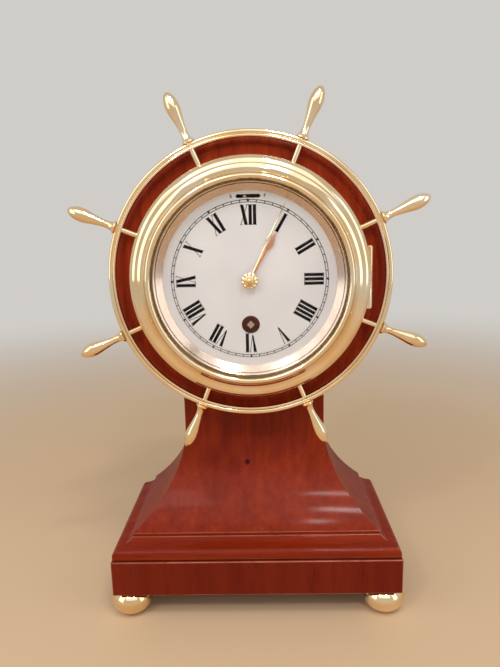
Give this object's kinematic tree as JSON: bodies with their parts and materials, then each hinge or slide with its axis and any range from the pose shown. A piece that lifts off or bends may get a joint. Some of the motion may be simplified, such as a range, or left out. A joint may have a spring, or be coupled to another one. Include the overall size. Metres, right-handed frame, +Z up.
{
  "type": "ship wheel clock",
  "caption": "Round brass marine clock set in a brass ship's wheel with turned handles, on a flared and moulded polished mahogany stand with brass bun feet.",
  "frame": {"origin": "on the table under the middle of the overall box", "axes": "+Z up, the dial looks along -Y, +X to the right of someone facing the dial"},
  "size_m": [0.2128, 0.0994, 0.3216],
  "materials": {
    "mahogany": "French polished",
    "polished_brass": "polished",
    "movement_brass": "brushed",
    "silvered_brass": "silvered, satin",
    "gilt": "gilt, polished",
    "steel": "polished",
    "glass": "clear"
  },
  "bodies": {
    "stand": {"plinth": "mahogany", "base_moulding": "mahogany", "pillar": "mahogany", "plaque": "mahogany", "foot_front_left": "polished_brass", "foot_front_right": "polished_brass", "foot_back_left": "polished_brass", "foot_back_right": "polished_brass", "base_screws": "steel", "plaque_screws": "steel", "case": "polished_brass", "case_screws": "polished_brass", "wheel_rim": "polished_brass", "spindle_1": "polished_brass", "spindle_2": "polished_brass", "spindle_3": "polished_brass", "spindle_4": "polished_brass", "spindle_5": "polished_brass", "spindle_6": "polished_brass", "spindle_7": "polished_brass", "spindle_8": "polished_brass", "hinge_leaf_case": "polished_brass", "hinge_pin": "polished_brass", "dial": "silvered_brass", "reflector": "polished_brass", "dial_screws": "steel", "front_plate": "movement_brass", "back_plate": "movement_brass", "plate_posts": "movement_brass", "plate_screws": "steel", "click_screw": "steel", "minute_stud": "steel", "index_stud": "steel"},
    "bezel": {"bezel": "polished_brass", "glass": "glass", "glass_ring": "polished_brass", "hinge_leaf_bezel": "polished_brass"},
    "minute_work": {"centre_wheel": "movement_brass", "cannon_pinion": "movement_brass", "minute_hand": "gilt", "hand_collet": "gilt"},
    "hour_work": {"hour_wheel": "movement_brass", "hour_hand": "gilt"},
    "minute_wheel": {"minute_wheel": "movement_brass"},
    "second_wheel": {"second_wheel": "movement_brass"},
    "third_wheel": {"third_wheel": "movement_brass"},
    "barrel": {"barrel": "movement_brass", "barrel_cap": "movement_brass"},
    "winding_arbor": {"winding_arbor": "steel", "ratchet_wheel": "steel"},
    "click": {"click": "steel"},
    "index_lever": {"index_lever": "steel"}
  },
  "joints": [
    {"name": "bezel_swing", "type": "hinge", "parent": "stand", "child": "bezel", "pos_m": [0.0687, -0.03535, 0.2152], "axis": [0, 0, 1], "range_deg": [0, 110]},
    {"name": "minute_spin", "type": "hinge", "parent": "stand", "child": "minute_work", "pos_m": [0, -0.02535, 0.2152], "axis": [0, 1, 0], "continuous": true},
    {"name": "hour_spin", "type": "hinge", "parent": "stand", "child": "hour_work", "pos_m": [0, -0.02535, 0.2152], "axis": [0, 1, 0], "continuous": true},
    {"name": "minute_wheel_spin", "type": "hinge", "parent": "stand", "child": "minute_wheel", "pos_m": [-0.0094, -0.02535, 0.21178], "axis": [0, 1, 0], "continuous": true},
    {"name": "second_wheel_spin", "type": "hinge", "parent": "stand", "child": "second_wheel", "pos_m": [0.01411, -0.02535, 0.20714], "axis": [0, 1, 0], "continuous": true},
    {"name": "barrel_spin", "type": "hinge", "parent": "stand", "child": "barrel", "pos_m": [0, -0.02535, 0.1893], "axis": [0, 1, 0], "continuous": true},
    {"name": "third_wheel_spin", "type": "hinge", "parent": "stand", "child": "third_wheel", "pos_m": [-0.00983, -0.02535, 0.22692], "axis": [0, 1, 0], "continuous": true},
    {"name": "winding_spin", "type": "hinge", "parent": "stand", "child": "winding_arbor", "pos_m": [0, -0.02535, 0.1893], "axis": [0, 1, 0], "continuous": true},
    {"name": "click_swing", "type": "hinge", "parent": "stand", "child": "click", "pos_m": [0.0115, -0.02535, 0.1988], "axis": [0, 1, 0], "range_deg": [-10, 0]},
    {"name": "index_swing", "type": "hinge", "parent": "stand", "child": "index_lever", "pos_m": [0, -0.02535, 0.2372], "axis": [0, 1, 0], "range_deg": [-4, 12]}
  ],
  "couplings": [
    {"joint": "hour_spin", "follows": "minute_spin", "ratio": 0.083333},
    {"joint": "minute_wheel_spin", "follows": "minute_spin", "ratio": -0.33333},
    {"joint": "second_wheel_spin", "follows": "minute_spin", "ratio": -0.18182},
    {"joint": "barrel_spin", "follows": "minute_spin", "ratio": 0.030303},
    {"joint": "third_wheel_spin", "follows": "minute_spin", "ratio": -7.5}
  ]
}
